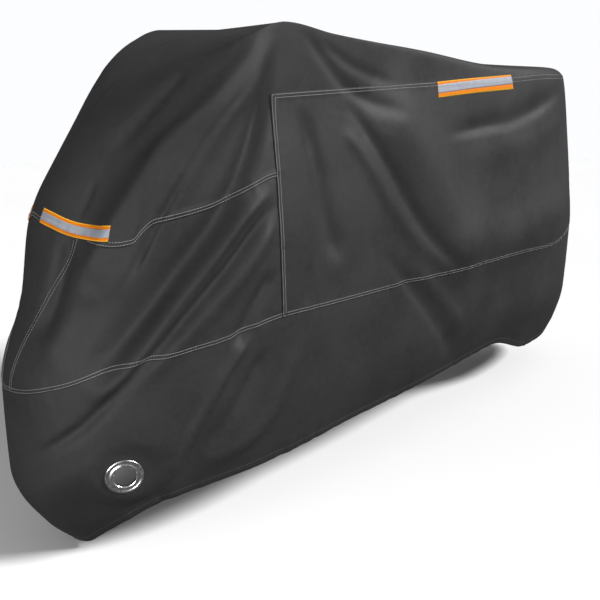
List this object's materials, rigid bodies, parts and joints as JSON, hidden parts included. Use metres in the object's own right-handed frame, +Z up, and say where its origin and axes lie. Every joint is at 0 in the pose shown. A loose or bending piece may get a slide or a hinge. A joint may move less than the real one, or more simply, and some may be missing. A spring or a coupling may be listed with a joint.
{
  "type": "fitted motorcycle cover",
  "caption": "Fitted motorcycle cover of dark coated cloth, draped hollow and open below, with double-stitched panels, reflective strips and a lock eyelet low on each side of the nose.",
  "frame": {"origin": "centre of the bounding box at its base, which is the level of the lowest point of the hem, at the nose", "axes": "-X towards the front of the cover, -Y towards its left side, +Z up"},
  "size_m": [2.088, 0.564, 1.1207],
  "materials": {
    "cover_cloth": "coated plain-weave synthetic cloth, charcoal black, slight sheen",
    "eyelet_steel": "bright plated rolled steel",
    "orange_tape": "fluorescent orange woven tape, matt",
    "silver_band": "silver retroreflective film on cloth, satin"
  },
  "bodies": {
    "root": {"hood_and_top_panel": "cover_cloth", "front_gusset": "cover_cloth", "lower_skirt": "cover_cloth", "front_side_panel_left": "cover_cloth", "front_side_panel_right": "cover_cloth", "rear_side_panel_left": "cover_cloth", "rear_side_panel_right": "cover_cloth", "eyelet_left": "eyelet_steel", "eyelet_right": "eyelet_steel", "reflective_tape_front_left": "orange_tape", "reflective_tape_front_right": "orange_tape", "reflective_tape_rear_left": "orange_tape", "reflective_tape_rear_right": "orange_tape", "reflective_band_front_left": "silver_band", "reflective_band_front_right": "silver_band", "reflective_band_rear_left": "silver_band", "reflective_band_rear_right": "silver_band"}
  },
  "joints": []
}
